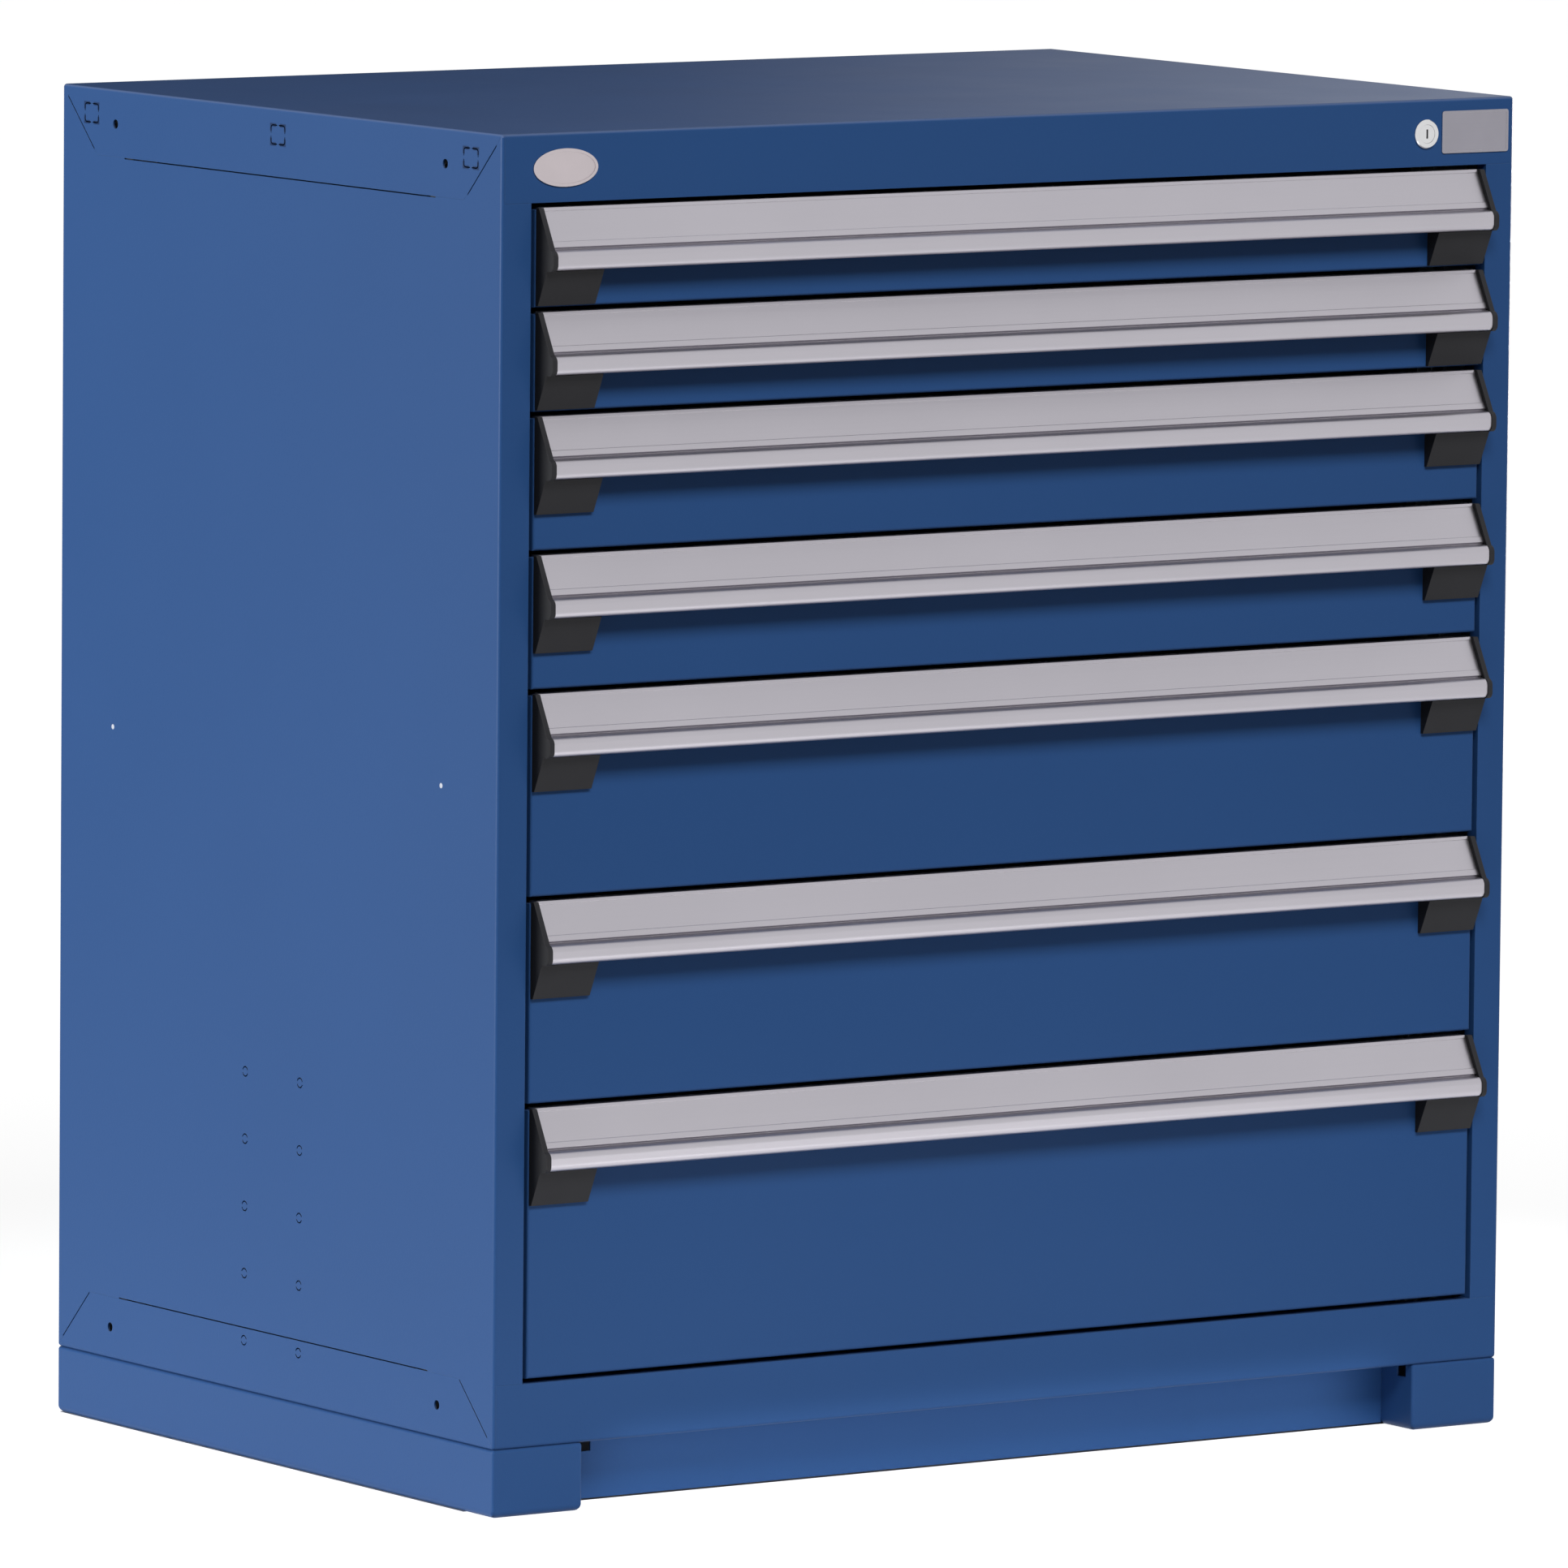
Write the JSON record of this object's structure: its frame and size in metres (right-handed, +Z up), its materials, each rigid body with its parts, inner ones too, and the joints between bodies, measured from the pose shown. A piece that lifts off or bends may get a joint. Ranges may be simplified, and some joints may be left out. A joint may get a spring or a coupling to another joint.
{
  "type": "modular drawer cabinet",
  "caption": "Floor-standing sheet steel cabinet with full-width drawers on telescopic roller slides, aluminium grip handles and a key lock that bars every drawer, on a fork lift base.",
  "frame": {"origin": "on the floor beneath the middle of the whole cabinet, handles included", "axes": "+Z up, the drawers open towards -Y, +X to the right seen from the front"},
  "size_m": [0.9144, 0.633, 1.016],
  "materials": {
    "housing_paint": "blue powder coat, semi gloss, faint orange peel",
    "drawer_paint": "blue powder coat, semi gloss, faint orange peel",
    "base_paint": "blue powder coat, semi gloss, faint orange peel",
    "handle_aluminium": "satin anodised extrusion, drawn along its length",
    "cap_plastic": "black moulded nylon, fine grain",
    "zinc_plate": "bright zinc plate",
    "roller_steel": "turned steel",
    "lock_chrome": "polished nickel chrome",
    "badge_metal": "blank satin plate",
    "label_metal": "blank foil plate",
    "guide_plastic": "natural nylon"
  },
  "bodies": {
    "cabinet": {"top_panel": "housing_paint", "bottom_panel": "housing_paint", "left_side_panel": "housing_paint", "right_side_panel": "housing_paint", "back_panel": "housing_paint", "back_screws": "zinc_plate", "uprights": "zinc_plate", "cabinet_rails": "zinc_plate", "base_left_rail": "base_paint", "base_right_rail": "base_paint", "base_front_cover": "base_paint", "base_bolts": "zinc_plate", "lock_barrel": "lock_chrome", "lock_bar_guides": "guide_plastic", "badge_plate": "badge_metal", "label_plate": "label_metal"},
    "drawer_1": {"drawer_1_front": "drawer_paint", "drawer_1_tray": "drawer_paint", "drawer_1_handle": "handle_aluminium", "drawer_1_handle_caps": "cap_plastic"},
    "carriage_1_body": {"carriage_1": "zinc_plate", "carriage_1_rollers": "roller_steel"},
    "drawer_2": {"drawer_2_front": "drawer_paint", "drawer_2_tray": "drawer_paint", "drawer_2_handle": "handle_aluminium", "drawer_2_handle_caps": "cap_plastic"},
    "carriage_2_body": {"carriage_2": "zinc_plate", "carriage_2_rollers": "roller_steel"},
    "drawer_3": {"drawer_3_front": "drawer_paint", "drawer_3_tray": "drawer_paint", "drawer_3_handle": "handle_aluminium", "drawer_3_handle_caps": "cap_plastic"},
    "carriage_3_body": {"carriage_3": "zinc_plate", "carriage_3_rollers": "roller_steel"},
    "drawer_4": {"drawer_4_front": "drawer_paint", "drawer_4_tray": "drawer_paint", "drawer_4_handle": "handle_aluminium", "drawer_4_handle_caps": "cap_plastic"},
    "carriage_4_body": {"carriage_4": "zinc_plate", "carriage_4_rollers": "roller_steel"},
    "drawer_5": {"drawer_5_front": "drawer_paint", "drawer_5_tray": "drawer_paint", "drawer_5_handle": "handle_aluminium", "drawer_5_handle_caps": "cap_plastic"},
    "carriage_5_body": {"carriage_5": "zinc_plate", "carriage_5_rollers": "roller_steel"},
    "drawer_6": {"drawer_6_front": "drawer_paint", "drawer_6_tray": "drawer_paint", "drawer_6_handle": "handle_aluminium", "drawer_6_handle_caps": "cap_plastic"},
    "carriage_6_body": {"carriage_6": "zinc_plate", "carriage_6_rollers": "roller_steel"},
    "drawer_7": {"drawer_7_front": "drawer_paint", "drawer_7_tray": "drawer_paint", "drawer_7_handle": "handle_aluminium", "drawer_7_handle_caps": "cap_plastic"},
    "carriage_7_body": {"carriage_7": "zinc_plate", "carriage_7_rollers": "roller_steel"},
    "lock_plug_body": {"lock_plug": "lock_chrome"},
    "lock_bar_body": {"lock_bar": "zinc_plate"}
  },
  "joints": [
    {"name": "drawer_1_slide", "type": "slide", "parent": "cabinet", "child": "drawer_1", "axis": [0, -1, 0], "range_m": [0, 0.5334]},
    {"name": "carriage_1_slide", "type": "slide", "parent": "cabinet", "child": "carriage_1_body", "axis": [0, -1, 0], "range_m": [0, 0.2667]},
    {"name": "drawer_2_slide", "type": "slide", "parent": "cabinet", "child": "drawer_2", "axis": [0, -1, 0], "range_m": [0, 0.5334]},
    {"name": "carriage_2_slide", "type": "slide", "parent": "cabinet", "child": "carriage_2_body", "axis": [0, -1, 0], "range_m": [0, 0.2667]},
    {"name": "drawer_3_slide", "type": "slide", "parent": "cabinet", "child": "drawer_3", "axis": [0, -1, 0], "range_m": [0, 0.5334]},
    {"name": "carriage_3_slide", "type": "slide", "parent": "cabinet", "child": "carriage_3_body", "axis": [0, -1, 0], "range_m": [0, 0.2667]},
    {"name": "drawer_4_slide", "type": "slide", "parent": "cabinet", "child": "drawer_4", "axis": [0, -1, 0], "range_m": [0, 0.5334]},
    {"name": "carriage_4_slide", "type": "slide", "parent": "cabinet", "child": "carriage_4_body", "axis": [0, -1, 0], "range_m": [0, 0.2667]},
    {"name": "drawer_5_slide", "type": "slide", "parent": "cabinet", "child": "drawer_5", "axis": [0, -1, 0], "range_m": [0, 0.5334]},
    {"name": "carriage_5_slide", "type": "slide", "parent": "cabinet", "child": "carriage_5_body", "axis": [0, -1, 0], "range_m": [0, 0.2667]},
    {"name": "drawer_6_slide", "type": "slide", "parent": "cabinet", "child": "drawer_6", "axis": [0, -1, 0], "range_m": [0, 0.5334]},
    {"name": "carriage_6_slide", "type": "slide", "parent": "cabinet", "child": "carriage_6_body", "axis": [0, -1, 0], "range_m": [0, 0.2667]},
    {"name": "drawer_7_slide", "type": "slide", "parent": "cabinet", "child": "drawer_7", "axis": [0, -1, 0], "range_m": [0, 0.5334]},
    {"name": "carriage_7_slide", "type": "slide", "parent": "cabinet", "child": "carriage_7_body", "axis": [0, -1, 0], "range_m": [0, 0.2667]},
    {"name": "lock_turn", "type": "hinge", "parent": "cabinet", "child": "lock_plug_body", "pos_m": [0.3747, -0.29305, 0.99], "axis": [0, 1, 0], "range_deg": [0, 90]},
    {"name": "lock_bar_lift", "type": "slide", "parent": "cabinet", "child": "lock_bar_body", "axis": [0, 0, 1], "range_m": [0, 0.01414]}
  ],
  "couplings": [
    {"joint": "carriage_1_slide", "follows": "drawer_1_slide", "ratio": 0.5},
    {"joint": "carriage_2_slide", "follows": "drawer_2_slide", "ratio": 0.5},
    {"joint": "carriage_3_slide", "follows": "drawer_3_slide", "ratio": 0.5},
    {"joint": "carriage_4_slide", "follows": "drawer_4_slide", "ratio": 0.5},
    {"joint": "carriage_5_slide", "follows": "drawer_5_slide", "ratio": 0.5},
    {"joint": "carriage_6_slide", "follows": "drawer_6_slide", "ratio": 0.5},
    {"joint": "carriage_7_slide", "follows": "drawer_7_slide", "ratio": 0.5},
    {"joint": "lock_turn", "follows": "lock_bar_lift", "rad_per_m": 111.07}
  ]
}
